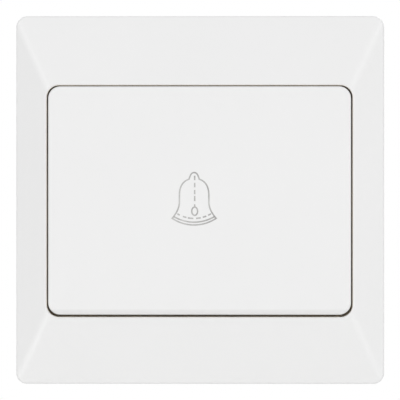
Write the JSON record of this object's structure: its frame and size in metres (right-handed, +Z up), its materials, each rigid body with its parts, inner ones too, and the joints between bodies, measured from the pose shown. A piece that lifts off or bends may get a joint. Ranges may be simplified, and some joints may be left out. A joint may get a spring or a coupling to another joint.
{
  "type": "doorbell switch",
  "caption": "Square wall-plate doorbell switch: a wide push key hinged at its top edge in a bevelled clip-on frame, with a sprung plunger, contacts and screw terminals behind.",
  "frame": {"origin": "centre of the plate on the wall plane, midway between the two fixing slots", "axes": "+X to the right of someone who faces the switch, +Y into the wall, +Z up the wall; the key faces -Y"},
  "size_m": [0.086, 0.0316, 0.086],
  "materials": {
    "white_polycarbonate": "gloss",
    "plate_polycarbonate": "satin",
    "grey_nylon": "satin",
    "acetal": "satin",
    "phosphor_bronze": "satin",
    "copper_strip": "satin",
    "brass": "satin",
    "silver_alloy": "satin",
    "zinc_plated_steel": "satin",
    "spring_steel": "satin"
  },
  "bodies": {
    "wall_unit": {"cover_frame": "white_polycarbonate", "mounting_plate": "plate_polycarbonate", "module_cover": "grey_nylon", "switch_base": "grey_nylon", "base_screw_left": "zinc_plated_steel", "base_screw_right": "zinc_plated_steel", "terminal_block_left": "brass", "terminal_block_right": "brass", "terminal_screw_left": "zinc_plated_steel", "terminal_screw_right": "zinc_plated_steel", "contact_strip_left": "copper_strip", "contact_strip_right": "copper_strip", "fixed_contact_left": "silver_alloy", "fixed_contact_right": "silver_alloy", "return_spring": "spring_steel"},
    "key": {"push_key": "white_polycarbonate"},
    "plunger": {"plunger": "acetal", "contact_bridge": "phosphor_bronze", "moving_contact_left": "silver_alloy", "moving_contact_right": "silver_alloy"}
  },
  "joints": [
    {"name": "key_hinge", "type": "hinge", "parent": "wall_unit", "child": "key", "pos_m": [0, -0.0052, 0.0225], "axis": [1, 0, 0], "range_deg": [0, 2.5], "stiffness_Nm_per_rad": 0.4, "springref_deg": -6.3},
    {"name": "plunger_slide", "type": "slide", "parent": "wall_unit", "child": "plunger", "axis": [0, 1, 0], "range_m": [0, 0.000982], "deforming": ["return_spring"]}
  ],
  "couplings": [
    {"joint": "plunger_slide", "follows": "key_hinge", "m_per_rad": 0.0225}
  ]
}
